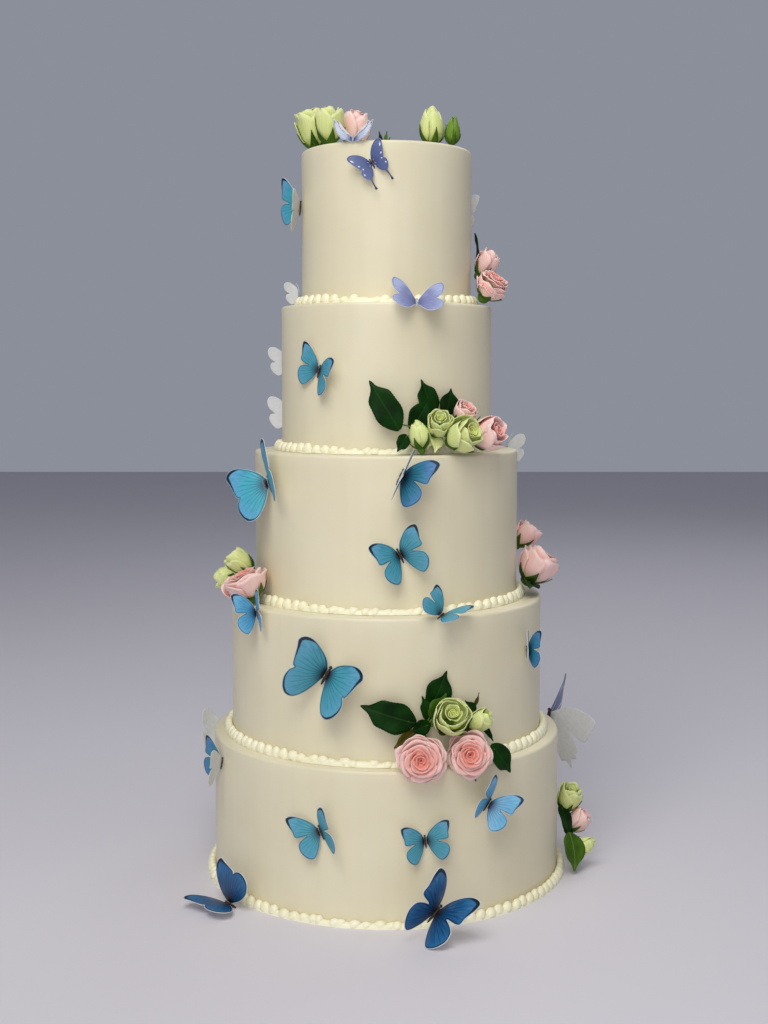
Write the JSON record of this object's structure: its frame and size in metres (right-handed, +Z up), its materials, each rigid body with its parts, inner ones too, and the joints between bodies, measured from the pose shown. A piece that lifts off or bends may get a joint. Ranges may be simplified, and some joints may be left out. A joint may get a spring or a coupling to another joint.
{
  "type": "tiered cake",
  "caption": "Tall tiered iced celebration cake with piped bead borders, spray roses, dark leaves and paper butterflies, without its board or stand.",
  "frame": {"origin": "centre of the cake's base, at the height of the surface that it stands on", "axes": "+Z up along the cake's axis, -Y towards the front as pictured, +X to the right as seen from the front"},
  "size_m": [0.4163, 0.4185, 0.7757],
  "materials": {
    "icing": "smooth ivory icing, satin",
    "piping": "piped cream icing, satin",
    "blue_paper": "printed edible paper, bright blue",
    "navy_paper": "printed edible paper, dark blue",
    "violet_paper": "printed edible paper, blue-violet",
    "lilac_paper": "printed edible paper, pale lilac",
    "white_paper": "edible paper seen from its plain side",
    "pink_petal": "pink rose petals, soft",
    "green_petal": "green and cream rose petals, soft",
    "leaf": "dark green leaves, slightly glossy"
  },
  "bodies": {
    "root": {"border_1": "piping", "border_2": "piping", "border_3": "piping", "border_4": "piping", "border_5": "piping", "bud_b1": "green_petal", "bud_b2": "green_petal", "bud_d1": "green_petal", "bud_d4": "pink_petal", "bud_e1": "green_petal", "bud_e2": "green_petal", "bud_g4": "green_petal", "bud_h2": "pink_petal", "butterfly_01": "lilac_paper", "butterfly_02": "violet_paper", "butterfly_03": "blue_paper", "butterfly_04": "white_paper", "butterfly_05": "lilac_paper", "butterfly_06": "blue_paper", "butterfly_07": "white_paper", "butterfly_08": "white_paper", "butterfly_09": "blue_paper", "butterfly_10": "blue_paper", "butterfly_11": "blue_paper", "butterfly_12": "white_paper", "butterfly_13": "blue_paper", "butterfly_14": "blue_paper", "butterfly_15": "blue_paper", "butterfly_16": "blue_paper", "butterfly_17": "white_paper", "butterfly_18": "white_paper", "butterfly_19": "blue_paper", "butterfly_20": "blue_paper", "butterfly_21": "blue_paper", "butterfly_22": "blue_paper", "butterfly_23": "navy_paper", "butterfly_24": "navy_paper", "leaves_d": "leaf", "leaves_g": "leaf", "leaves_h": "green_petal", "rose_a1": "green_petal", "rose_a2": "green_petal", "rose_a3": "pink_petal", "rose_c1": "pink_petal", "rose_c2": "pink_petal", "rose_d2": "green_petal", "rose_d3": "green_petal", "rose_d5": "pink_petal", "rose_e3": "pink_petal", "rose_f1": "pink_petal", "rose_f2": "pink_petal", "rose_g1": "pink_petal", "rose_g2": "pink_petal", "rose_g3": "green_petal", "rose_h1": "green_petal", "tier_1": "icing", "tier_2": "icing", "tier_3": "icing", "tier_4": "icing", "tier_5": "icing"}
  },
  "joints": []
}
